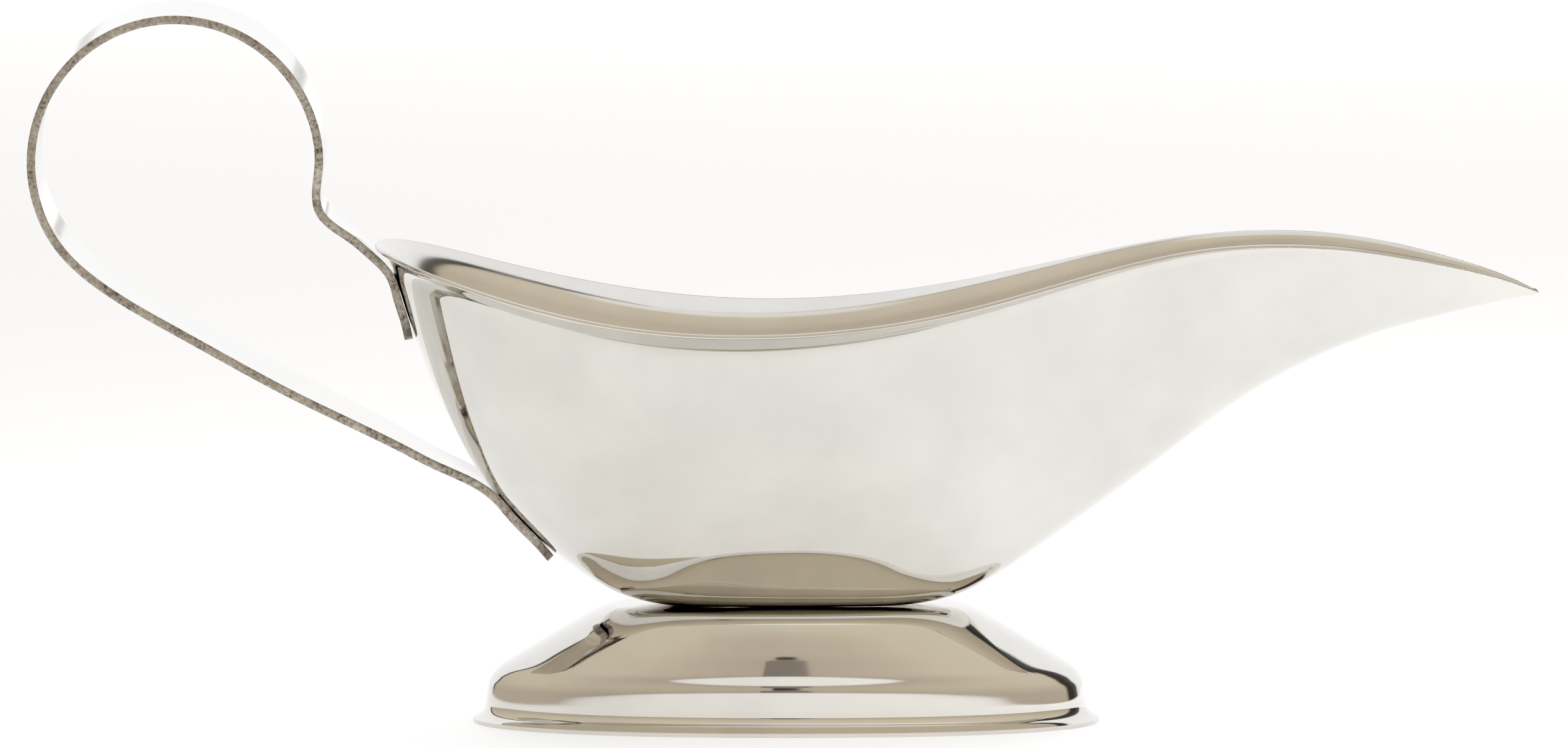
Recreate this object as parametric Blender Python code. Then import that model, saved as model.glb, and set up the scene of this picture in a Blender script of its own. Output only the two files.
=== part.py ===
"""Stainless steel gravy boat: a drawn sheet bowl with a flared rim, a hollow oval foot and a
bent strap handle, joined by spot welds.

Frame: +X towards the spout, +Y across, +Z up, metres. The origin is under the middle of the
whole object, on the surface that it stands on. Everything is symmetric about the XZ plane.
"""
import math

import bmesh
import bpy
import numpy as np

MM = 0.001

# Driving dimensions, in millimetres.
SHEET = 0.6             # wall of the bowl and the foot
STRAP_THICKNESS = 1.2
GAP = 0.35              # clearance kept between welded faces
NUGGET_CLEARANCE = 0.1

# Half of the rim's outer edge, from the back end to the spout's tip: x, half width, height.
RIM = [(-58.4, 0.0, 68.1), (-51.0, 23.3, 65.9), (-39.0, 30.5, 62.35), (-24.0, 33.1, 59.05),
       (-3.0, 30.2, 57.45), (21.0, 26.0, 59.65), (42.0, 18.4, 64.55), (60.0, 12.8, 68.25),
       (81.0, 11.1, 68.25), (93.0, 7.8, 66.05), (104.5, 2.3, 62.8), (107.7, 0.0, 61.4)]

# Half of the crease under the flared lip, where the lip meets the bowl's wall.
THROAT = [(-56.1, 0.0, 66.2), (-49.4, 20.8, 64.0), (-38.2, 27.0, 60.3), (-23.5, 28.9, 56.8),
          (-3.0, 25.9, 55.2), (21.0, 22.5, 58.3), (42.0, 16.5, 63.8), (60.0, 11.9, 67.7),
          (81.0, 10.5, 67.8), (92.7, 7.4, 65.7), (104.0, 2.1, 62.3), (107.2, 0.0, 61.1)]

# The bowl's centre line from the back of the throat, under the bowl, to the spout's tip.
KEEL = [(-56.1, 66.2), (-52.4, 54.6), (-47.2, 42.2), (-40.6, 32.0), (-32.0, 23.6), (-24.5, 18.9),
        (-18.5, 17.3), (-9.0, 17.05), (0.0, 17.0), (10.0, 17.05), (19.5, 17.3), (25.5, 18.6),
        (37.0, 25.4), (51.0, 35.6), (65.0, 46.0), (79.0, 53.5), (93.0, 57.9), (107.2, 61.1)]
SECTION_ROUNDNESS = 0.38    # share of the parabola in the round cross-section, the rest is y^4
# Over the foot, the section has a flat floor: shares of its half width and of its height.
FLOOR_SECTION = [(0.0, 0.0), (0.2, 0.0005), (0.36, 0.009), (0.446, 0.05), (0.533, 0.139),
                 (0.636, 0.252), (0.744, 0.399), (0.85, 0.588), (0.938, 0.795), (1.0, 1.0)]
FLOOR_REACH = (-40.0, -6.0, 8.0, 50.0)       # x where that section starts, is full, and ends
WALL_STEP = 0.2             # step along x for the slope of the centre line
TIP_WALL_SHARE = 0.3        # how close the inner walls come at the spout's tip, of the outer ones

# The foot's rings, outside: half length, half width, height at the ends, height at the sides.
FOOT_CENTRE_X = 0.3
FOOT_RINGS = [(13.0, 9.5, 16.65, 16.65), (21.5, 17.0, 16.65, 16.65), (24.8, 18.9, 16.45, 16.4),
              (26.2, 19.6, 16.1, 15.9), (28.5, 20.25, 15.2, 14.9), (33.0, 20.7, 12.6, 12.5),
              (40.6, 21.1, 8.05, 8.0), (41.7, 21.14, 7.0, 6.9), (42.3, 21.18, 6.1, 6.1),
              (42.62, 21.2, 5.0, 5.0), (42.9, 21.24, 2.6, 2.6), (43.5, 21.9, 1.35, 1.4),
              (44.7, 24.0, 0.6, 0.6)]
FOOT_FULLNESS = 2.3         # 2 is an ellipse: higher fills its corners
FLANGE_FACE = 1.4           # width of the flat ring that the foot stands on

# The strap handle's loop and the run between the loop and the lower weld.
LOOP_CENTRE = (-86.5, 81.1)
LOOP_RADIUS = 20.4
LOOP_START_DEGREES = -2.0
LOOP_END_DEGREES = 236.0
LOWER_RUN = [(-86.7, 57.3), (-69.3, 47.75), (-51.9, 38.75), (-46.9, 35.8)]
UPPER_RUN = [(-59.0, 67.3), (-61.3, 69.4), (-64.3, 71.7), (-66.0, 73.7)]
UPPER_TAB_HEIGHTS = (55.2, 58.2, 61.3, 64.2)        # where the strap lies on the bowl's back
LOWER_TAB_HEIGHTS = (32.0, 30.2, 28.4, 26.6, 24.2)
TAB_END_LIFT = 0.3          # extra distance from the bowl at the strap's two ends
LOOP_POINTS = 13
STRAP_END_WIDTH = 16.0
STRAP_WIDTH = 30.0
STRAP_TAPER = (5.0, 50.0)   # distances from an end between which the strap widens
STRAP_END_ROUND = 6.0       # length of the rounded corners at both ends
STRAP_END_SQUARE = 0.35     # straight share of the width at the very end
STRAP_END_CUPS = (0.2, 0.7)  # how far the upper and lower end's edges bow towards the bowl
STRAP_CUP_REACH = (12.0, 24.0)  # distances from an end between which the bow fades out

WELD_RADIUS = 1.4
WELD_SIDES = 20
UPPER_WELD_HEIGHTS = (63.0, 59.6)
LOWER_WELD_HEIGHTS = (30.0, 26.8)
FOOT_WELD_SPACING = (12.0, 5.0)

# Mesh fineness.
BOWL_RING_STEPS = 76
BOWL_ROWS = 13
BOWL_ROW_SPREAD = 0.8       # below 1 the rows are closer to each other at the crease
BOWL_FLOOR_OVAL = (60.0, 25.0)  # the rows turn into this oval towards the middle of the bottom
FOOT_RING_STEPS = 64
STRAP_STEPS = 84
STRAP_ACROSS = 5
STRAP_END_CROWDING = 0.8    # 0 for evenly spaced sections, below 1
CURVE_SAMPLES = 2401

STEEL = (0.78, 0.77, 0.74)
WELD_STEEL = (0.42, 0.38, 0.34)


def clear_scene():
    for item in list(bpy.data.objects):
        bpy.data.objects.remove(item, do_unlink=True)


def smooth_curve(points, count):
    """A curve with continuous curvature through the points, sampled evenly by chord length."""
    p = np.array(points, float)
    step = np.linalg.norm(np.diff(p, axis=0), axis=1)
    length = np.concatenate([[0.0], np.cumsum(step)])
    last = len(p) - 1
    system = np.eye(last + 1)
    load = np.zeros_like(p)
    for i in range(1, last):
        system[i, i - 1:i + 2] = step[i - 1], 2 * (step[i - 1] + step[i]), step[i]
        load[i] = 6 * ((p[i + 1] - p[i]) / step[i] - (p[i] - p[i - 1]) / step[i - 1])
    bend = np.linalg.solve(system, load)
    at = np.linspace(0.0, length[-1], count)
    i = np.clip(np.searchsorted(length, at, side="right") - 1, 0, last - 1)
    span = step[i][:, None]
    a = (length[i + 1] - at)[:, None] / span
    b = 1 - a
    cubic = (a ** 3 - a) * bend[i] + (b ** 3 - b) * bend[i + 1]
    return a * p[i] + b * p[i + 1] + cubic * span ** 2 / 6


def whole_outline(side, count):
    """Mirrors half of an outline and samples it from the tip round the back to the tip."""
    other_side = [(x, -y, z) for x, y, z in reversed(side[1:])]
    return smooth_curve(other_side + list(side), count)


def smooth_step(value):
    t = np.clip(value, 0.0, 1.0)
    return t * t * (3 - 2 * t)


class Hull:
    """The bowl's outer surface below the crease, as a height over the plan view."""

    def __init__(self):
        throat = whole_outline(THROAT, CURVE_SAMPLES)
        side = throat[CURVE_SAMPLES // 2:]
        keel = smooth_curve(KEEL, CURVE_SAMPLES)
        self.side_x = np.maximum.accumulate(side[:, 0])
        self.side_width = side[:, 1]
        self.side_height = side[:, 2]
        self.keel_x = np.maximum.accumulate(keel[:, 0])
        self.keel_height = keel[:, 1]
        self.section = smooth_curve(FLOOR_SECTION, CURVE_SAMPLES)

    def height(self, x, y):
        width = np.maximum(np.interp(x, self.side_x, self.side_width), 1e-6)
        top = np.interp(x, self.side_x, self.side_height)
        bottom = np.interp(x, self.keel_x, self.keel_height)
        across = np.minimum(np.abs(y) / width, 1.0)
        round_rise = SECTION_ROUNDNESS * across ** 2 + (1 - SECTION_ROUNDNESS) * across ** 4
        flat_rise = np.interp(across, self.section[:, 0], self.section[:, 1])
        back, floor_back, floor_front, front = FLOOR_REACH
        share = smooth_step((x - back) / (floor_back - back))
        share = share * (1 - smooth_step((x - floor_front) / (front - floor_front)))
        return bottom + (top - bottom) * (share * flat_rise + (1 - share) * round_rise)

    def back_wall(self, height, stand_off):
        """A point outside the back of the centre line, at its height and distance from it."""
        back = self.keel_x < 0
        x = np.interp(-height, -self.keel_height[back], self.keel_x[back])
        drop = np.interp(x + WALL_STEP, self.keel_x, self.keel_height) - height
        length = math.hypot(WALL_STEP, drop)
        return (x + stand_off * drop / length, height - stand_off * WALL_STEP / length)

    def back_wall_tilt(self, height):
        """The angle of the outward normal of the back wall, below the horizontal."""
        out = self.back_wall(height, 1.0)
        start = self.back_wall(height, 0.0)
        return math.atan2(start[1] - out[1], start[0] - out[0])


def new_object(name, vertices, faces, material):
    """Makes one closed mesh object from millimetre vertices, with its faces pointing out."""
    mesh = bpy.data.meshes.new(name)
    mesh.from_pydata([tuple(float(c) * MM for c in v) for v in vertices], [], faces)
    cleaner = bmesh.new()
    cleaner.from_mesh(mesh)
    bmesh.ops.recalc_face_normals(cleaner, faces=cleaner.faces)
    cleaner.to_mesh(mesh)
    cleaner.free()
    mesh.shade_smooth()
    mesh.set_sharp_from_angle(angle=math.radians(35))
    mesh.materials.append(material)
    item = bpy.data.objects.new(name, mesh)
    bpy.context.collection.objects.link(item)
    return item


def steel(name, colour, roughness):
    material = bpy.data.materials.new(name)
    material.use_nodes = True
    shader = material.node_tree.nodes["Principled BSDF"]
    shader.inputs["Base Color"].default_value = (*colour, 1.0)
    shader.inputs["Metallic"].default_value = 1.0
    shader.inputs["Roughness"].default_value = roughness
    return material


def ring_faces(rings, count):
    """Quads between neighbouring closed rings of the same number of vertices."""
    faces = []
    for row in range(rings - 1):
        for i in range(count):
            j = (i + 1) % count
            faces.append((row * count + i, row * count + j,
                          (row + 1) * count + j, (row + 1) * count + i))
    return faces


def grid_normals(grid):
    """Unit normals of a grid of closed rings, from the neighbours of each vertex."""
    along = np.roll(grid, -1, axis=1) - np.roll(grid, 1, axis=1)
    down = np.gradient(grid, axis=0)
    normal = np.cross(along, down)
    return normal / np.linalg.norm(normal, axis=2)[:, :, None]


def bowl_rows(hull):
    """Rings of the bowl's outer surface, from the rim's edge to the middle of the bottom."""
    # The outlines are sampled evenly and both tips are one vertex, so the last sample is left.
    rim = whole_outline(RIM, BOWL_RING_STEPS + 1)[:-1]
    throat = whole_outline(THROAT, BOWL_RING_STEPS + 1)[:-1]
    rows = [rim, 0.5 * (rim + throat), throat]
    turn = np.linspace(0.0, 2 * math.pi, BOWL_RING_STEPS, endpoint=False)
    half_length, half_width = BOWL_FLOOR_OVAL
    floor = np.stack([half_length * np.cos(turn), -half_width * np.sin(turn)], axis=1)
    for row in range(1, BOWL_ROWS):
        reach = math.sin(0.5 * math.pi * (1 - row / BOWL_ROWS)) ** BOWL_ROW_SPREAD
        ring = throat.copy()
        ring[:, :2] = reach * (reach * throat[:, :2] + (1 - reach) * floor)
        ring[:, 2] = hull.height(ring[:, 0], ring[:, 1])
        rows.append(ring)
    return np.array(rows)


def make_bowl(hull, material):
    outer = bowl_rows(hull)
    normal = grid_normals(outer)
    normal *= np.sign(normal[-1, 0, 2]) * -1.0
    inner = outer - SHEET * normal
    # Near the spout's tip the two walls would cross, so each keeps to its own side.
    side = np.sign(outer[:, :, 1])
    width = np.abs(outer[:, :, 1])
    inner[:, :, 1] = side * np.maximum(side * inner[:, :, 1], TIP_WALL_SHARE * width)
    rows, count = outer.shape[:2]
    shell = np.concatenate([outer[::-1], inner])
    faces = ring_faces(2 * rows, count)
    vertices = list(shell.reshape(-1, 3))
    centre_height = hull.height(0.0, 0.0)
    below = len(vertices)
    vertices.append((0.0, 0.0, centre_height))
    vertices.append((0.0, 0.0, centre_height + SHEET))
    last_ring = (2 * rows - 1) * count
    for i in range(count):
        j = (i + 1) % count
        faces.append((i, j, below))
        faces.append((last_ring + i, last_ring + j, below + 1))
    return new_object("bowl", vertices, faces, material)


def oval_ring(half_length, half_width, end_height, side_height, count):
    angle = np.linspace(0.0, 2 * math.pi, count, endpoint=False)
    along = np.sign(np.cos(angle)) * np.abs(np.cos(angle)) ** (2 / FOOT_FULLNESS)
    across = np.sign(np.sin(angle)) * np.abs(np.sin(angle)) ** (2 / FOOT_FULLNESS)
    height = side_height + (end_height - side_height) * along ** 2
    return np.stack([FOOT_CENTRE_X + half_length * along, half_width * across, height], axis=1)


def make_foot(material):
    """A hollow oval pedestal of sheet: closed on top, open below, with a flared flange."""
    count = FOOT_RING_STEPS
    outer = np.array([oval_ring(*ring, count) for ring in FOOT_RINGS])
    normal = grid_normals(outer)
    normal *= np.sign(normal[0, 0, 2])
    inner = outer - SHEET * normal
    flange_length, flange_width = FOOT_RINGS[-1][:2]
    base_outer = oval_ring(flange_length, flange_width, 0.0, 0.0, count)
    base_inner = oval_ring(flange_length - FLANGE_FACE, flange_width - FLANGE_FACE,
                           0.0, 0.0, count)
    # The last inner ring would lie inside the flange, so the standing face takes its place.
    shell = np.concatenate([outer, [base_outer, base_inner], inner[:-1][::-1]])
    faces = ring_faces(len(shell), count)
    vertices = list(shell.reshape(-1, 3))
    top = len(vertices)
    top_height = FOOT_RINGS[0][2]
    vertices.append((FOOT_CENTRE_X, 0.0, top_height))
    vertices.append((FOOT_CENTRE_X, 0.0, top_height - SHEET))
    last_ring = (len(shell) - 1) * count
    for i in range(count):
        j = (i + 1) % count
        faces.append((i, j, top))
        faces.append((last_ring + i, last_ring + j, top + 1))
    return new_object("foot", vertices, faces, material)


def strap_path(hull):
    """The strap's middle line in the XZ plane, from the upper weld round to the lower one."""
    stand_off = GAP + STRAP_THICKNESS / 2
    points = [hull.back_wall(UPPER_TAB_HEIGHTS[0], stand_off + TAB_END_LIFT)]
    points += [hull.back_wall(height, stand_off) for height in UPPER_TAB_HEIGHTS[1:]]
    points += UPPER_RUN
    for degrees in np.linspace(LOOP_START_DEGREES, LOOP_END_DEGREES, LOOP_POINTS):
        angle = math.radians(degrees)
        points.append((LOOP_CENTRE[0] + LOOP_RADIUS * math.cos(angle),
                       LOOP_CENTRE[1] + LOOP_RADIUS * math.sin(angle)))
    points += LOWER_RUN
    points += [hull.back_wall(height, stand_off) for height in LOWER_TAB_HEIGHTS[:-1]]
    points.append(hull.back_wall(LOWER_TAB_HEIGHTS[-1], stand_off + TAB_END_LIFT))
    return smooth_curve(points, CURVE_SAMPLES)


def strap_width(from_end):
    """The strap's width at distances from its nearer end."""
    near, far = STRAP_TAPER
    widening = smooth_step((from_end - near) / (far - near))
    width = STRAP_END_WIDTH + (STRAP_WIDTH - STRAP_END_WIDTH) * widening
    corner = np.clip(1 - from_end / STRAP_END_ROUND, 0.0, 1.0)
    return width * (STRAP_END_SQUARE + (1 - STRAP_END_SQUARE) * np.sqrt(1 - corner ** 2))


def strap_sections(hull):
    """Sections along the strap: middle point, normal to the right, half width and bow."""
    path = strap_path(hull)
    step = np.linalg.norm(np.diff(path, axis=0), axis=1)
    travelled = np.concatenate([[0.0], np.cumsum(step)])
    total = travelled[-1]
    # Closer sections at both ends, where the corners are rounded.
    even = np.linspace(0.0, 1.0, STRAP_STEPS)
    crowding = STRAP_END_CROWDING * np.sin(2 * math.pi * even) / (2 * math.pi)
    at = np.clip(total * (even - crowding), 0.0, total)
    tangents = np.gradient(path, travelled, axis=0)
    middle = np.stack([np.interp(at, travelled, path[:, k]) for k in (0, 1)], axis=1)
    tangent = np.stack([np.interp(at, travelled, tangents[:, k]) for k in (0, 1)], axis=1)
    tangent /= np.linalg.norm(tangent, axis=1)[:, None]
    normal = np.stack([tangent[:, 1], -tangent[:, 0]], axis=1)
    from_end = np.minimum(at, total - at)
    width = strap_width(from_end)
    near, far = STRAP_CUP_REACH
    fade = 1 - smooth_step((from_end - near) / (far - near))
    # The bowl is to the right of the path at its start and to the left at its end.
    cup = np.where(at < total / 2, STRAP_END_CUPS[0], -STRAP_END_CUPS[1]) * fade
    return middle, normal, width / 2, cup


def make_strap(hull, material):
    """The bent strap handle: a flat band whose ends are hollowed to fit the bowl."""
    middle, normal, half_width, cup = strap_sections(hull)
    across = np.linspace(-1.0, 1.0, STRAP_ACROSS)
    rings = []
    for point, side, half, hollow in zip(middle, normal, half_width, cup):
        bow = hollow * (half / (STRAP_END_WIDTH / 2)) ** 2 * across ** 2
        right_face = [(point + side * (b + STRAP_THICKNESS / 2), half * a)
                      for a, b in zip(across, bow)]
        left_face = [(point + side * (b - STRAP_THICKNESS / 2), half * a)
                     for a, b in zip(across[::-1], bow[::-1])]
        rings.append([(p[0], y, p[1]) for p, y in right_face + left_face])
    count = 2 * STRAP_ACROSS
    faces = ring_faces(len(rings), count)
    start = tuple(range(count))
    end = tuple((len(rings) - 1) * count + i for i in range(count))
    faces += cap_faces(start) + cap_faces(end)
    return new_object("handle_strap", [v for ring in rings for v in ring], faces, material)


def cap_faces(ring):
    """Quads closing the end of the strap, between its inner and outer face."""
    count = len(ring)
    return [(ring[i], ring[i + 1], ring[count - 2 - i], ring[count - 1 - i])
            for i in range(STRAP_ACROSS - 1)]


def make_nugget(name, centre, tilt, thickness, material):
    """A spot weld's nugget: a thin disc with its axis tilted in the XZ plane."""
    shape = bmesh.new()
    bmesh.ops.create_cone(shape, cap_ends=True, segments=WELD_SIDES, radius1=WELD_RADIUS * MM,
                          radius2=WELD_RADIUS * MM, depth=thickness * MM)
    mesh = bpy.data.meshes.new(name)
    shape.to_mesh(mesh)
    shape.free()
    mesh.materials.append(material)
    item = bpy.data.objects.new(name, mesh)
    item.location = [c * MM for c in centre]
    item.rotation_euler = (0.0, tilt, 0.0)
    bpy.context.collection.objects.link(item)
    return item


def make_strap_welds(hull, material):
    names = ("upper_spot_weld_top", "upper_spot_weld_bottom",
             "lower_spot_weld_top", "lower_spot_weld_bottom")
    for name, height in zip(names, UPPER_WELD_HEIGHTS + LOWER_WELD_HEIGHTS):
        x, z = hull.back_wall(height, GAP / 2)
        tilt = math.pi / 2 - hull.back_wall_tilt(height)
        make_nugget(name, (x, 0.0, z), tilt, GAP - 2 * NUGGET_CLEARANCE, material)


def make_foot_welds(hull, material):
    top = FOOT_RINGS[0][2]
    length, width = FOOT_WELD_SPACING
    for end, x_sign in (("back", -1), ("front", 1)):
        for side, y_sign in (("left", 1), ("right", -1)):
            x = x_sign * length / 2
            y = y_sign * width / 2
            lowest = hull.height(x - x_sign * WELD_RADIUS, y - y_sign * WELD_RADIUS)
            room = float(lowest) - top
            make_nugget("foot_spot_weld_%s_%s" % (end, side), (x, y, top + room / 2), 0.0,
                        room - 2 * NUGGET_CLEARANCE, material)


def main():
    clear_scene()
    hull = Hull()
    polished = steel("polished_steel", STEEL, 0.08)
    weld = steel("weld_steel", WELD_STEEL, 0.45)
    make_bowl(hull, polished)
    make_foot(polished)
    make_strap(hull, polished)
    make_strap_welds(hull, weld)
    make_foot_welds(hull, weld)


main()
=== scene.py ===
"""Looks of the steel gravy boat: fine sheet-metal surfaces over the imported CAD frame, polished
steel materials, a pale floor and a soft studio. +X is towards the spout and +Z is up. Shapes are
in millimetres, and the stage, the lights and the camera are in metres.
"""
import math

import bpy
import numpy as np
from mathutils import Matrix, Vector


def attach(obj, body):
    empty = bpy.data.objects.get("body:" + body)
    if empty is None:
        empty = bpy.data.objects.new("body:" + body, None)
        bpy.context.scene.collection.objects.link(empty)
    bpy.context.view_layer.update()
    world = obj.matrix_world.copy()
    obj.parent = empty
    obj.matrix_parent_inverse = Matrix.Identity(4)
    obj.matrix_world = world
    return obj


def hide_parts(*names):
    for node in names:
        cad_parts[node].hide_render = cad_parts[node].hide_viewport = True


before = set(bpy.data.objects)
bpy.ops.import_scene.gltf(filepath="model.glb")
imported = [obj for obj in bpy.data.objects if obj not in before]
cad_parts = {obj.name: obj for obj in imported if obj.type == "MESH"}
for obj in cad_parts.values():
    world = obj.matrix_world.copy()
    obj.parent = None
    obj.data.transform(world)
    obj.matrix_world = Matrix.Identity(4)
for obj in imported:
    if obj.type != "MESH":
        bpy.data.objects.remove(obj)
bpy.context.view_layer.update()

MM = 0.001
SHEET = 0.6
STRAP_THICKNESS = 1.2
TAB_GAP = 0.04              # the strap's ends nearly touch the bowl
SHARP_DEGREES = 50.0        # edges that turn more than this are shaded sharp
TINY = 1e-12                # keeps a division away from zero

# The bowl. Its outlines are those of the CAD part.
RIM = [(-58.4, 0.0, 68.1), (-51.0, 23.3, 65.9), (-39.0, 30.5, 62.35), (-24.0, 33.1, 59.05),
       (-3.0, 30.2, 57.45), (21.0, 26.0, 59.65), (42.0, 18.4, 64.55), (60.0, 12.8, 68.25),
       (81.0, 11.1, 68.25), (93.0, 7.8, 66.05), (104.5, 2.3, 62.8), (107.7, 0.0, 61.4)]
THROAT = [(-56.1, 0.0, 66.2), (-49.4, 20.8, 64.0), (-38.2, 27.0, 60.3), (-23.5, 28.9, 56.8),
          (-3.0, 25.9, 55.2), (21.0, 22.5, 58.3), (42.0, 16.5, 63.8), (60.0, 11.9, 67.7),
          (81.0, 10.5, 67.8), (92.7, 7.4, 65.7), (104.0, 2.1, 62.3), (107.2, 0.0, 61.1)]
KEEL = [(-56.1, 66.2), (-52.4, 54.6), (-47.2, 42.2), (-40.6, 32.0), (-32.0, 23.6), (-24.5, 18.9),
        (-18.5, 17.3), (-9.0, 17.05), (0.0, 17.0), (10.0, 17.05), (19.5, 17.3), (25.5, 18.6),
        (37.0, 25.4), (51.0, 35.6), (65.0, 46.0), (79.0, 53.5), (93.0, 57.9), (107.2, 61.1)]
SECTION_ROUNDNESS = 0.38    # share of the parabola in the round cross-section, the rest is y^4
# Over the foot, the section has a flat floor: shares of its half width and of its height.
FLOOR_SECTION = [(0.0, 0.0), (0.2, 0.0005), (0.36, 0.009), (0.446, 0.05), (0.533, 0.139),
                 (0.636, 0.252), (0.744, 0.399), (0.85, 0.588), (0.938, 0.795), (1.0, 1.0)]
FLOOR_REACH = (-40.0, -6.0, 8.0, 50.0)       # x where that section starts, is full, and ends
BOWL_FLOOR_OVAL = (60.0, 25.0)
LEAST_HALF_WIDTH = 1e-6     # keeps the section defined at the two tips
CREASE_REACH = 1.7          # how far the crease's bend reaches on both sides
CREASE_LIP_SHARE = 0.7      # but no further than this share of the lip
CREASE_SLOPE_STEP = 0.01    # share of the way in over which the hull's slope is read
LIP_ROWS = 7
CREASE_ROWS = 12
WALL_ROWS = 84
WALL_ROW_POWER = 0.9        # lower puts the rows of the wall closer to the crease
BOWL_COUNT = 420            # vertices round each ring
RIM_ROUNDING = 0.12         # how far the rim's edge stands out between the two faces
RIM_EDGE_SHARES = ((0.82, 0.18), (0.5, 0.5), (0.18, 0.82))   # of the outer and the inner face
TIP_WALL_SHARE = 0.3        # how close the inner walls come at the spout's tip, of the outer ones
WALL_SLOPE_STEP = 0.2       # distance along x over which the back wall's slope is read

FOOT_CENTRE_X = 0.3
# The foot's outside from the top's middle down to the flange: half length, half width, and the
# heights at the ends and at the sides. It keeps close to the CAD's rings, with more of them, and
# its top is a third of a millimetre higher, so that it meets the bowl.
FOOT_RINGS = [(0.0, 0.0, 16.98, 16.98), (8.0, 5.5, 16.98, 16.98), (15.0, 11.0, 16.97, 16.97),
              (20.5, 15.5, 16.95, 16.9), (23.0, 17.8, 16.85, 16.8), (24.8, 18.9, 16.65, 16.5),
              (26.2, 19.6, 16.25, 16.0), (27.3, 20.0, 15.8, 15.5), (28.5, 20.25, 15.2, 14.9),
              (30.0, 20.45, 14.35, 14.1), (33.0, 20.7, 12.6, 12.5), (35.6, 20.89, 11.05, 11.0),
              (37.5, 20.98, 9.93, 9.9), (39.2, 21.06, 8.95, 8.9), (40.6, 21.1, 8.05, 8.0),
              (41.2, 21.09, 7.55, 7.4), (41.7, 21.11, 7.0, 6.9), (42.05, 21.15, 6.5, 6.5),
              (42.3, 21.18, 6.1, 6.1), (42.5, 21.19, 5.6, 5.6), (42.62, 21.2, 5.0, 5.0),
              (42.78, 21.21, 4.0, 4.0), (42.88, 21.22, 3.0, 3.0), (42.96, 21.24, 2.3, 2.3),
              (43.1, 21.38, 1.9, 1.9), (43.5, 21.9, 1.35, 1.4), (44.1, 22.8, 0.9, 0.95),
              (44.7, 24.0, 0.6, 0.6)]
FOOT_FULLNESS = 2.3         # 2 is an ellipse: higher fills its corners
FOOT_COUNT = 210            # vertices round each ring
FOOT_ROWS = 220             # rings between the top's middle and the flange, both included
FLANGE_FACE = 1.4           # width of the flat ring that the foot stands on
FLANGE_SPREAD = 0.02
# Insets from the flange's outside, and heights, of the rings round its edge and underside.
FLANGE_EDGE = ((0.02, 0.2), (0.16, 0.0), (FLANGE_FACE - 0.1, 0.0), (FLANGE_FACE, 0.12))
FLANGE_CLEARANCE = 0.05     # rings of the inside closer to the flange's face are left out

LOOP_CENTRE = (-86.5, 81.1)
LOOP_RADIUS = 20.4
LOOP_DEGREES = (-2.0, 236.0)
LOOP_POINTS = 13
LOWER_RUN = [(-86.7, 57.3), (-69.3, 47.75), (-51.9, 38.75), (-46.9, 35.8)]
UPPER_RUN = [(-59.0, 67.3), (-61.3, 69.4), (-64.3, 71.7), (-66.0, 73.7)]
UPPER_TAB_HEIGHTS = (55.2, 58.2, 61.3, 64.2)
LOWER_TAB_HEIGHTS = (32.0, 30.2, 28.4, 26.6, 24.2)
TAB_END_LIFT = 0.3          # how far the strap's very ends stand off the bowl
STRAP_END_WIDTH = 16.0
STRAP_WIDTH = 30.0
STRAP_TAPER = (5.0, 50.0)   # distances from an end between which the strap widens
STRAP_END_ROUND = 6.0
STRAP_END_SQUARE = 0.35     # share of the width that is left straight at an end
STRAP_END_CUPS = (0.2, 0.7)          # hollows of the upper and lower ends, round the bowl's back
STRAP_CUP_REACH = (12.0, 24.0)       # distances from an end between which the hollow fades
STRAP_ROWS = 420
STRAP_END_CROWDING = 0.8    # 0 spaces the rows evenly, higher puts more of them at the ends
STRAP_ACROSS = 15           # vertices across each face
STRAP_CORNER = 0.14         # how far each face stops short of the edge
STRAP_EDGE_BULGE = 0.03
STRAP_EDGE_FLAT = 0.25      # half the height of the edge's flat

CURVE_SAMPLES = 4801

# Places of the materials on a sheet-metal shell, and on the strap.
OUTSIDE, INSIDE, EDGE = range(3)
STRAP_FACE, STRAP_EDGE = range(2)

# The studio, in metres. The room's colours are by height: 0 is the horizon and 1 is overhead.
ROOM_COLOURS = [(0.0, (0.54, 0.46, 0.38)), (0.12, (0.60, 0.52, 0.42)),
                (0.5, (0.72, 0.64, 0.51)), (0.92, (0.76, 0.68, 0.55)),
                (0.96, (1.0, 0.98, 0.94))]
BACKDROP_WHITE = (1.06, 1.06, 1.07)
BACKDROP_EDGE = 0.08
BELOW_HORIZON = 0.75
FLOOR_REACH_METRES = 9.0
FLOOR_COLOUR = (0.80, 0.825, 0.87)
CAMERA_SENSOR = 36.0
CAMERA_LENS = 524.6 / 1.015          # sets the object's size in the frame
CAMERA_FAR = 100.0
CAMERA_PLACE = (0.0, -3.2, 0.3394)
CAMERA_AIM = (0.0, 0.0, 0.0497)
GLOSSY_BOUNCES = 10         # fewer leave the narrow joint over the foot black


# ---------------------------------------------------------------- shapes

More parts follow.
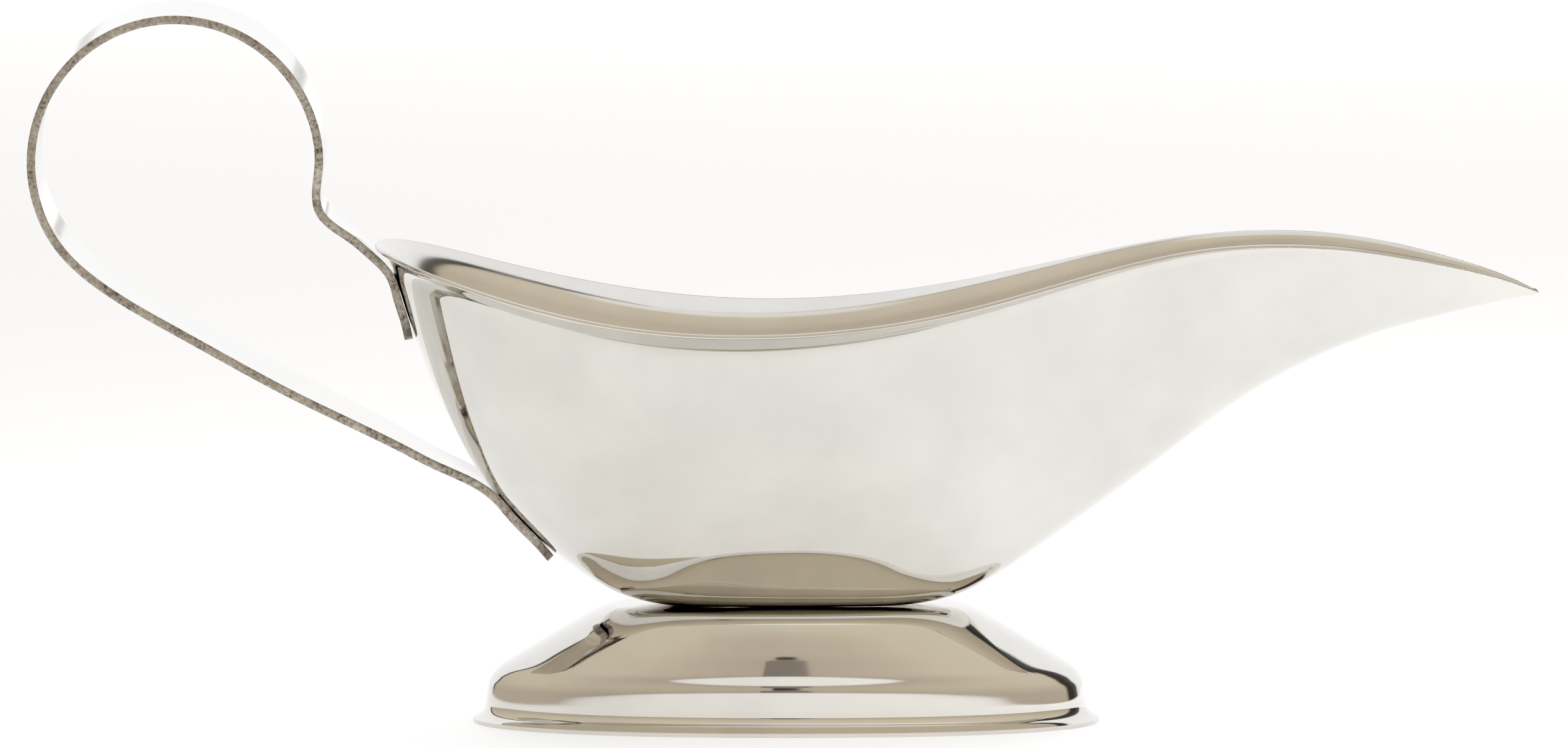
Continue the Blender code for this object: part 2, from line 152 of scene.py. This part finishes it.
def smooth_curve(points, count):
    """A curve with continuous curvature through the points, sampled evenly by chord length."""
    p = np.array(points, float)
    step = np.linalg.norm(np.diff(p, axis=0), axis=1)
    length = np.concatenate([[0.0], np.cumsum(step)])
    last = len(p) - 1
    system = np.eye(last + 1)
    load = np.zeros_like(p)
    for i in range(1, last):
        system[i, i - 1:i + 2] = step[i - 1], 2 * (step[i - 1] + step[i]), step[i]
        load[i] = 6 * ((p[i + 1] - p[i]) / step[i] - (p[i] - p[i - 1]) / step[i - 1])
    bend = np.linalg.solve(system, load)
    at = np.linspace(0.0, length[-1], count)
    i = np.clip(np.searchsorted(length, at, side="right") - 1, 0, last - 1)
    span = step[i][:, None]
    a = (length[i + 1] - at)[:, None] / span
    b = 1 - a
    cubic = (a ** 3 - a) * bend[i] + (b ** 3 - b) * bend[i + 1]
    return a * p[i] + b * p[i + 1] + cubic * span ** 2 / 6


def whole_outline(side, count):
    """Mirrors half of an outline and samples it from the tip round the back to the tip."""
    other_side = [(x, -y, z) for x, y, z in reversed(side[1:])]
    return smooth_curve(other_side + list(side), count)


def smooth_step(value):
    """Rises from 0 to 1 as the value does, level at both ends."""
    t = np.clip(value, 0.0, 1.0)
    return t * t * (3 - 2 * t)


class Hull:
    """The bowl's outer surface below the crease, as a height over the plan view."""

    def __init__(self):
        throat = whole_outline(THROAT, CURVE_SAMPLES)
        side = throat[CURVE_SAMPLES // 2:]
        keel = smooth_curve(KEEL, CURVE_SAMPLES)
        self.side_x = np.maximum.accumulate(side[:, 0])
        self.side_width = side[:, 1]
        self.side_height = side[:, 2]
        self.keel_x = np.maximum.accumulate(keel[:, 0])
        self.keel_height = keel[:, 1]
        self.section = smooth_curve(FLOOR_SECTION, CURVE_SAMPLES)

    def height(self, x, y):
        width = np.maximum(np.interp(x, self.side_x, self.side_width), LEAST_HALF_WIDTH)
        top = np.interp(x, self.side_x, self.side_height)
        bottom = np.interp(x, self.keel_x, self.keel_height)
        across = np.minimum(np.abs(y) / width, 1.0)
        round_rise = SECTION_ROUNDNESS * across ** 2 + (1 - SECTION_ROUNDNESS) * across ** 4
        flat_rise = np.interp(across, self.section[:, 0], self.section[:, 1])
        back, floor_back, floor_front, front = FLOOR_REACH
        share = smooth_step((x - back) / (floor_back - back))
        share = share * (1 - smooth_step((x - floor_front) / (front - floor_front)))
        return bottom + (top - bottom) * (share * flat_rise + (1 - share) * round_rise)

    def back_wall(self, height, stand_off):
        """A point outside the back of the centre line, at its height and distance from it."""
        back = self.keel_x < 0
        x = np.interp(-height, -self.keel_height[back], self.keel_x[back])
        drop = np.interp(x + WALL_SLOPE_STEP, self.keel_x, self.keel_height) - height
        length = math.hypot(WALL_SLOPE_STEP, drop)
        return (x + stand_off * drop / length, height - stand_off * WALL_SLOPE_STEP / length)


def grid_normals(grid):
    """Unit normals of a grid of closed rings, from the neighbours of each vertex."""
    along = np.roll(grid, -1, axis=1) - np.roll(grid, 1, axis=1)
    down = np.gradient(grid, axis=0)
    normal = np.cross(along, down)
    return normal / np.maximum(np.linalg.norm(normal, axis=2)[:, :, None], TINY)


def new_piece(name, vertices, faces, face_materials, materials, node):
    """A mesh in place of a CAD node, with the material of each face given by its place."""
    mesh = bpy.data.meshes.new(name)
    mesh.from_pydata((np.array(vertices) * MM).tolist(), [], faces)
    for material in materials:
        mesh.materials.append(material)
    mesh.polygons.foreach_set("material_index", np.array(face_materials, np.int32))
    mesh.shade_smooth()
    mesh.set_sharp_from_angle(angle=math.radians(SHARP_DEGREES))
    mesh.validate()
    piece = bpy.data.objects.new(name, mesh)
    bpy.context.scene.collection.objects.link(piece)
    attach(piece, "root")
    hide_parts(node)


def ring_quads(row, count):
    """Quads between closed ring number row and the next one."""
    a = row * count
    b = a + count
    return [(a + i, a + (i + 1) % count, b + (i + 1) % count, b + i) for i in range(count)]


def sheet_shell(name, outer, edge, inner, middles, materials, node):
    """A shell of sheet metal: rings of its outside from the middle to the edge, of the edge, and
    of its inside back to the middle, with a fan at each end to the outside's and inside's middle.
    """
    rings = np.concatenate([outer, edge, inner])
    count = rings.shape[1]
    faces = []
    kinds = []
    for row in range(len(rings) - 1):
        faces += ring_quads(row, count)
        if row < len(outer) - 1:
            kind = OUTSIDE
        elif row < len(outer) + len(edge):
            kind = EDGE
        else:
            kind = INSIDE
        kinds += [kind] * count
    vertices = list(rings.reshape(-1, 3))
    outer_middle = len(vertices)
    inner_middle = outer_middle + 1
    vertices += middles
    last = (len(rings) - 1) * count
    for i in range(count):
        j = (i + 1) % count
        faces.append((j, i, outer_middle))
        kinds.append(OUTSIDE)
        faces.append((last + i, last + j, inner_middle))
        kinds.append(INSIDE)
    new_piece(name, vertices, faces, kinds, materials, node)


def bowl_surface(hull, count):
    """Rings of the outer surface from the rim to near the middle, with a bent crease."""
    rim = whole_outline(RIM, count + 1)[:-1]
    throat = whole_outline(THROAT, count + 1)[:-1]
    turn = np.linspace(0.0, 2 * math.pi, count, endpoint=False)
    oval = np.stack([BOWL_FLOOR_OVAL[0] * np.cos(turn), -BOWL_FLOOR_OVAL[1] * np.sin(turn)], axis=1)

    def hull_ring(reach):
        reach = np.broadcast_to(reach, (count,))[:, None]
        plan = reach * (reach * throat[:, :2] + (1 - reach) * oval)
        return np.column_stack([plan, hull.height(plan[:, 0], plan[:, 1])])

    lip = rim - throat
    lip_length = np.linalg.norm(lip, axis=1)
    bend = np.minimum(CREASE_REACH, CREASE_LIP_SHARE * lip_length)
    start = throat + lip * (bend / lip_length)[:, None]
    nearby = hull_ring(1 - CREASE_SLOPE_STEP)
    speed = np.linalg.norm(throat - nearby, axis=1) / CREASE_SLOPE_STEP
    below = 1 - bend / speed
    end = hull_ring(below)
    rows = [rim + (start - rim) * t for t in np.linspace(0.0, 1.0, LIP_ROWS)]
    for t in np.linspace(0.0, 1.0, CREASE_ROWS)[1:]:
        rows.append((1 - t) ** 2 * start + 2 * t * (1 - t) * throat + t * t * end)
    for row in range(1, WALL_ROWS):
        share = math.sin(0.5 * math.pi * (1 - row / WALL_ROWS)) ** WALL_ROW_POWER
        rows.append(hull_ring(below * share))
    return np.array(rows)


def make_bowl(hull, outside, inside, edge):
    outer = bowl_surface(hull, BOWL_COUNT)
    # The bowl's bottom faces down, so its normal there tells which way the others point.
    normal = grid_normals(outer)
    normal *= -np.sign(normal[-1, 0, 2])
    inner = outer - SHEET * normal
    side = np.sign(outer[:, :, 1])
    width = np.abs(outer[:, :, 1])
    inner[:, :, 1] = side * np.maximum(side * inner[:, :, 1], TIP_WALL_SHARE * width)
    # The sheared edge is a little rounded: its rings stand out between the two faces' edges.
    outward = outer[0] - outer[1]
    outward /= np.linalg.norm(outward, axis=1)[:, None]
    edge_rings = [near * outer[0] + far * inner[0] for near, far in RIM_EDGE_SHARES]
    outer[0] -= outward * RIM_ROUNDING
    inner[0] -= outward * RIM_ROUNDING
    bottom = float(hull.height(0.0, 0.0))
    middles = [(0.0, 0.0, bottom), (0.0, 0.0, bottom + SHEET)]
    sheet_shell("bowl_sheet", outer[::-1], edge_rings, inner, middles,
                (outside, inside, edge), "bowl")


def oval_ring(ring, count):
    """A ring of the foot, which may be higher at its ends than at its sides."""
    half_length, half_width, end_height, side_height = ring
    angle = np.linspace(0.0, 2 * math.pi, count, endpoint=False)
    along = np.sign(np.cos(angle)) * np.abs(np.cos(angle)) ** (2 / FOOT_FULLNESS)
    across = np.sign(np.sin(angle)) * np.abs(np.sin(angle)) ** (2 / FOOT_FULLNESS)
    height = side_height + (end_height - side_height) * along ** 2
    return np.stack([FOOT_CENTRE_X + half_length * along, half_width * across, height], axis=1)


def make_foot(outside, inside, edge):
    profile = smooth_curve(FOOT_RINGS, FOOT_ROWS)[1:]
    outer = np.array([oval_ring(ring, FOOT_COUNT) for ring in profile])
    # The foot's top faces up, so its normal there tells which way the others point.
    normal = grid_normals(outer)
    normal *= np.sign(normal[0, 0, 2])
    inner = outer - SHEET * normal
    flange_length, flange_width = FOOT_RINGS[-1][:2]
    base = [oval_ring((flange_length + FLANGE_SPREAD - inset,
                       flange_width + FLANGE_SPREAD - inset, low, low), FOOT_COUNT)
            for inset, low in FLANGE_EDGE]
    inner_end = FOOT_CENTRE_X + flange_length - FLANGE_FACE - FLANGE_CLEARANCE
    inner = inner[inner[:, 0, 0] < inner_end]
    top = FOOT_RINGS[0][2]
    middles = [(FOOT_CENTRE_X, 0.0, top), (FOOT_CENTRE_X, 0.0, top - SHEET)]
    sheet_shell("foot_sheet", outer, base, inner[::-1], middles,
                (outside, inside, edge), "foot")


def strap_path(hull):
    """The middle line of the strap, seen from the side: x and height."""
    stand_off = TAB_GAP + STRAP_THICKNESS / 2
    points = [hull.back_wall(UPPER_TAB_HEIGHTS[0], stand_off + TAB_END_LIFT)]
    points += [hull.back_wall(height, stand_off) for height in UPPER_TAB_HEIGHTS[1:]]
    points += UPPER_RUN
    for degrees in np.linspace(LOOP_DEGREES[0], LOOP_DEGREES[1], LOOP_POINTS):
        angle = math.radians(degrees)
        points.append((LOOP_CENTRE[0] + LOOP_RADIUS * math.cos(angle),
                       LOOP_CENTRE[1] + LOOP_RADIUS * math.sin(angle)))
    points += LOWER_RUN
    points += [hull.back_wall(height, stand_off) for height in LOWER_TAB_HEIGHTS[:-1]]
    points.append(hull.back_wall(LOWER_TAB_HEIGHTS[-1], stand_off + TAB_END_LIFT))
    return smooth_curve(points, CURVE_SAMPLES)


def strap_width(from_end):
    """The strap's width at a distance from its nearer end, which is rounded."""
    near, far = STRAP_TAPER
    widening = smooth_step((from_end - near) / (far - near))
    width = STRAP_END_WIDTH + (STRAP_WIDTH - STRAP_END_WIDTH) * widening
    corner = np.clip(1 - from_end / STRAP_END_ROUND, 0.0, 1.0)
    return width * (STRAP_END_SQUARE + (1 - STRAP_END_SQUARE) * np.sqrt(1 - corner ** 2))


def make_strap(hull, face, edge):
    path = strap_path(hull)
    step = np.linalg.norm(np.diff(path, axis=0), axis=1)
    travelled = np.concatenate([[0.0], np.cumsum(step)])
    total = travelled[-1]
    even = np.linspace(0.0, 1.0, STRAP_ROWS)
    crowded = even - STRAP_END_CROWDING * np.sin(2 * math.pi * even) / (2 * math.pi)
    at = np.clip(total * crowded, 0.0, total)
    tangents = np.gradient(path, travelled, axis=0)
    middle = np.stack([np.interp(at, travelled, path[:, k]) for k in (0, 1)], axis=1)
    tangent = np.stack([np.interp(at, travelled, tangents[:, k]) for k in (0, 1)], axis=1)
    tangent /= np.linalg.norm(tangent, axis=1)[:, None]
    side = np.stack([tangent[:, 1], -tangent[:, 0]], axis=1)
    from_end = np.minimum(at, total - at)
    half = strap_width(from_end) / 2
    near, far = STRAP_CUP_REACH
    fade = 1 - smooth_step((from_end - near) / (far - near))
    cup = np.where(at < total / 2, STRAP_END_CUPS[0], -STRAP_END_CUPS[1]) * fade
    # Each section goes across one face, round an edge, back across the other face and round the
    # other edge. Its points are places across the strap and heights above its middle.
    across = np.linspace(-1.0, 1.0, STRAP_ACROSS)
    thick = STRAP_THICKNESS / 2
    rings = []
    for point, normal, h, hollow in zip(middle, side, half, cup):
        bow = hollow * (h / (STRAP_END_WIDTH / 2)) ** 2
        flat = across * (h - STRAP_CORNER)
        one_face = [(y, bow * (y / h) ** 2 + thick) for y in flat]
        other_face = [(y, bow * (y / h) ** 2 - thick) for y in flat[::-1]]
        one_edge = [(h - STRAP_EDGE_BULGE, bow + thick - STRAP_CORNER),
                    (h, bow + STRAP_EDGE_FLAT),
                    (h, bow - STRAP_EDGE_FLAT),
                    (h - STRAP_EDGE_BULGE, bow - thick + STRAP_CORNER)]
        other_edge = [(-y, z) for y, z in reversed(one_edge)]
        section = one_face + one_edge + other_face + other_edge
        rings.append([(point[0] + normal[0] * z, y, point[1] + normal[1] * z)
                      for y, z in section])
    count = len(rings[0])
    flat_quads = STRAP_ACROSS - 1
    edge_quads = count // 2 - flat_quads
    section_kinds = ([STRAP_FACE] * flat_quads + [STRAP_EDGE] * edge_quads) * 2
    faces = []
    kinds = []
    for row in range(len(rings) - 1):
        faces += ring_quads(row, count)
        kinds += section_kinds
    first = tuple(range(count))
    last = tuple((len(rings) - 1) * count + i for i in range(count))
    faces += [first[::-1], last]
    kinds += [STRAP_EDGE, STRAP_EDGE]
    vertices = [vertex for ring in rings for vertex in ring]
    new_piece("strap_band", vertices, faces, kinds, (face, edge), "handle_strap")


# ---------------------------------------------------------------- materials

class Nodes:
    """Small helper to build a node tree."""

    def __init__(self, tree):
        self.tree = tree
        tree.nodes.clear()

    def add(self, kind, **values):
        node = self.tree.nodes.new(kind)
        for name, value in values.items():
            setattr(node, name, value)
        return node

    def link(self, source, target):
        self.tree.links.new(source, target)

    def math(self, operation, a, b):
        node = self.add("ShaderNodeMath", operation=operation)
        for socket, value in zip(node.inputs, (a, b)):
            if isinstance(value, (int, float)):
                socket.default_value = value
            else:
                self.link(value, socket)
        return node.outputs[0]

    def ramp(self, value, stops):
        node = self.add("ShaderNodeValToRGB")
        ramp = node.color_ramp
        while len(ramp.elements) > 1:
            ramp.elements.remove(ramp.elements[-1])
        ramp.elements[0].position = stops[0][0]
        ramp.elements[0].color = (*stops[0][1], 1.0)
        for place, colour in stops[1:]:
            ramp.elements.new(place).color = (*colour, 1.0)
        self.link(value, node.inputs[0])
        return node.outputs[0]

    def mix(self, blend, share, a, b):
        node = self.add("ShaderNodeMix", data_type="RGBA", blend_type=blend)
        for socket, value in zip((node.inputs["Factor"], node.inputs["A"], node.inputs["B"]),
                                 (share, a, b)):
            if isinstance(value, float):
                socket.default_value = value
            elif isinstance(value, tuple):
                socket.default_value = (*value, 1.0)
            else:
                self.link(value, socket)
        return node.outputs["Result"]

    def noise(self, scale, detail, rough):
        where = self.add("ShaderNodeTexCoord").outputs["Object"]
        node = self.add("ShaderNodeTexNoise")
        node.inputs["Scale"].default_value = scale
        node.inputs["Detail"].default_value = detail
        node.inputs["Roughness"].default_value = rough
        self.link(where, node.inputs["Vector"])
        return node.outputs[0]


def grey(value):
    return (value, value, value)


def metal(name, metallic):
    """A new material of metal, with the helper for its nodes and its shader."""
    material = bpy.data.materials.new(name)
    material.use_nodes = True
    n = Nodes(material.node_tree)
    out = n.add("ShaderNodeOutputMaterial")
    shader = n.add("ShaderNodeBsdfPrincipled")
    shader.inputs["Metallic"].default_value = metallic
    n.link(shader.outputs[0], out.inputs[0])
    return material, n, shader


def steel(name, colour, rough_low, rough_high, grain, waves):
    """Polished steel. The bump is a fine grain over low waves, each with its own strength."""
    material, n, shader = metal(name, 1.0)
    # Faint handling smudges: wide ones dull the colour a little, small ones the polish.
    dulled = tuple(0.9 * channel for channel in colour)
    tone = n.ramp(n.noise(28.0, 4.0, 0.65), [(0.36, dulled), (0.6, colour)])
    n.link(tone, shader.inputs["Base Color"])
    smudge = n.ramp(n.noise(55.0, 3.0, 0.6),
                    [(0.42, grey(rough_low)), (0.68, grey(rough_high))])
    n.link(smudge, shader.inputs["Roughness"])
    fine = n.noise(2500.0, 2.0, 0.6)
    wave = n.noise(38.0, 1.0, 0.4)
    height = n.math("ADD", n.math("MULTIPLY", fine, grain), n.math("MULTIPLY", wave, waves))
    bump = n.add("ShaderNodeBump")
    bump.inputs["Strength"].default_value = 1.0
    bump.inputs["Distance"].default_value = 0.00002
    n.link(height, bump.inputs["Height"])
    n.link(bump.outputs[0], shader.inputs["Normal"])
    return material


def sheared_edge(name):
    """The rough, speckled edge that shears leave on the strap."""
    material, n, shader = metal(name, 0.85)
    speckle = n.noise(1800.0, 3.0, 0.7)
    patch = n.noise(260.0, 3.0, 0.6)
    mixed = n.math("ADD", n.math("MULTIPLY", speckle, 0.6), n.math("MULTIPLY", patch, 0.4))
    colour = n.ramp(mixed, [(0.36, (0.12, 0.10, 0.08)), (0.47, (0.38, 0.34, 0.29)),
                            (0.6, (0.55, 0.51, 0.45)), (0.75, (0.7, 0.67, 0.6))])
    n.link(colour, shader.inputs["Base Color"])
    n.link(n.ramp(speckle, [(0.3, grey(0.6)), (0.7, grey(0.35))]), shader.inputs["Roughness"])
    bump = n.add("ShaderNodeBump")
    bump.inputs["Distance"].default_value = 0.00008
    n.link(mixed, bump.inputs["Height"])
    n.link(bump.outputs[0], shader.inputs["Normal"])
    return material


def weld_metal():
    """The dull, heat-stained metal of the spot welds."""
    material, n, shader = metal("weld_metal", 0.9)
    shader.inputs["Roughness"].default_value = 0.5
    colour = n.ramp(n.noise(900.0, 3.0, 0.6),
                    [(0.35, (0.16, 0.13, 0.11)), (0.65, (0.45, 0.4, 0.35))])
    n.link(colour, shader.inputs["Base Color"])
    return material


# ---------------------------------------------------------------- studio

def build_world():
    world = bpy.data.worlds.new("studio")
    bpy.context.scene.world = world
    world.use_nodes = True
    n = Nodes(world.node_tree)
    out = n.add("ShaderNodeOutputWorld")
    background = n.add("ShaderNodeBackground")
    n.link(background.outputs[0], out.inputs[0])
    split = n.add("ShaderNodeSeparateXYZ")
    n.link(n.add("ShaderNodeTexCoord").outputs["Generated"], split.inputs[0])
    x, y, z = split.outputs
    # The room is beige, lighter higher up and nearly white overhead. A white backdrop stands
    # behind the object, with a dark edge on each side: the place round the object is a share of
    # a turn, 0.5 straight behind it. Below the horizon, past the floor's end, all is grey.
    room = n.ramp(z, ROOM_COLOURS)
    turn = n.math("DIVIDE", n.math("ARCTAN2", x, y), 2 * math.pi)
    around = n.math("ADD", turn, 0.5)
    light = grey(1.0)
    dark = grey(BACKDROP_EDGE)
    edge = n.ramp(around, [(0.380, light), (0.384, dark), (0.390, dark), (0.396, light),
                           (0.62, light), (0.635, dark), (0.685, dark), (0.70, light)])
    behind = n.ramp(around, [(0.387, grey(0.0)), (0.388, grey(1.0)), (0.65, grey(1.0)),
                             (0.66, grey(0.0))])
    walls = n.mix("MIX", behind, room, BACKDROP_WHITE)
    walls = n.mix("MULTIPLY", 1.0, walls, edge)
    below = n.math("LESS_THAN", z, 0.0)
    n.link(n.mix("MIX", below, walls, grey(BELOW_HORIZON)), background.inputs["Color"])


def flat_panel(name, material_name, half_length, half_width, colour, roughness):
    """A flat rectangle round its own origin, and its shader."""
    mesh = bpy.data.meshes.new(name)
    corners = [(-half_length, -half_width, 0.0), (half_length, -half_width, 0.0),
               (half_length, half_width, 0.0), (-half_length, half_width, 0.0)]
    mesh.from_pydata(corners, [], [(0, 1, 2, 3)])
    panel = bpy.data.objects.new(name, mesh)
    bpy.context.scene.collection.objects.link(panel)
    material = bpy.data.materials.new(material_name)
    material.use_nodes = True
    shader = material.node_tree.nodes["Principled BSDF"]
    shader.inputs["Base Color"].default_value = (*colour, 1.0)
    shader.inputs["Roughness"].default_value = roughness
    mesh.materials.append(material)
    return panel, shader


def build_floor():
    floor, shader = flat_panel("floor", "floor_white", FLOOR_REACH_METRES, FLOOR_REACH_METRES,
                               FLOOR_COLOUR, 0.6)
    shader.inputs["Specular IOR Level"].default_value = 0.2


def reflected_card(name, degrees, rise, distance, width, height, albedo):
    """A flat card facing the object, seen only in the reflections on the steel: degrees round
    from the camera's side towards the spout, and rise above the floor, also in degrees.
    """
    card, _ = flat_panel(name, name, width / 2, height / 2, albedo, 1.0)
    turn = math.radians(degrees)
    tilt = math.radians(rise)
    away = Vector((math.cos(tilt) * math.sin(turn), -math.cos(tilt) * math.cos(turn),
                   math.sin(tilt)))
    card.location = away * distance
    card.rotation_euler = away.to_track_quat("Z", "Y").to_euler()
    card.visible_camera = False
    card.visible_diffuse = False
    card.visible_shadow = False


def build_camera():
    camera = bpy.data.cameras.new("camera")
    camera.sensor_width = CAMERA_SENSOR
    camera.lens = CAMERA_LENS
    camera.clip_end = CAMERA_FAR
    item = bpy.data.objects.new("camera", camera)
    bpy.context.scene.collection.objects.link(item)
    item.location = CAMERA_PLACE
    aim = Vector(CAMERA_AIM) - item.location
    item.rotation_euler = aim.to_track_quat("-Z", "Y").to_euler()
    bpy.context.scene.camera = item


def overhead_light(name, place, length, width, power):
    """A soft light over the floor, which the steel doesn't mirror. It casts no shadows."""
    light = bpy.data.lights.new(name, "AREA")
    light.shape = "RECTANGLE"
    light.size = length
    light.size_y = width
    light.energy = power
    item = bpy.data.objects.new(name, light)
    bpy.context.scene.collection.objects.link(item)
    light.use_shadow = False
    item.visible_glossy = False
    item.location = place


# ---------------------------------------------------------------- the scene

hull = Hull()
mirror_steel = steel("mirror_steel", (0.76, 0.745, 0.705), 0.03, 0.09, grain=0.0, waves=0.4)
inner_steel = steel("inner_steel", (0.76, 0.745, 0.71), 0.14, 0.26, grain=0.1, waves=0.4)
strap_face = steel("strap_face", (0.78, 0.765, 0.73), 0.05, 0.14, grain=0.03, waves=0.2)
rim_steel = steel("rim_steel", (0.74, 0.72, 0.68), 0.16, 0.3, grain=0.3, waves=0.3)
edge_steel = sheared_edge("sheared_edge")
make_bowl(hull, mirror_steel, inner_steel, rim_steel)
make_foot(mirror_steel, inner_steel, rim_steel)
make_strap(hull, strap_face, edge_steel)
weld = weld_metal()
for name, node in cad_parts.items():
    if "spot_weld" in name:
        node.data.materials.clear()
        node.data.materials.append(weld)

build_world()
build_floor()
reflected_card("studio_camera", 0.0, 5.9, 3.4, 0.14, 0.15, (0.04, 0.038, 0.04))
reflected_card("studio_stand", 0.0, 2.4, 3.4, 0.3, 0.24, (0.33, 0.29, 0.26))
build_camera()
overhead_light("over_object", (0.3, 0.05, 0.65), 0.7, 0.4, 3.6)
overhead_light("over_background", (0.6, 2.6, 1.6), 3.0, 1.6, 42.0)
bpy.context.scene.view_settings.view_transform = "Standard"
bpy.context.scene.cycles.glossy_bounces = GLOSSY_BOUNCES
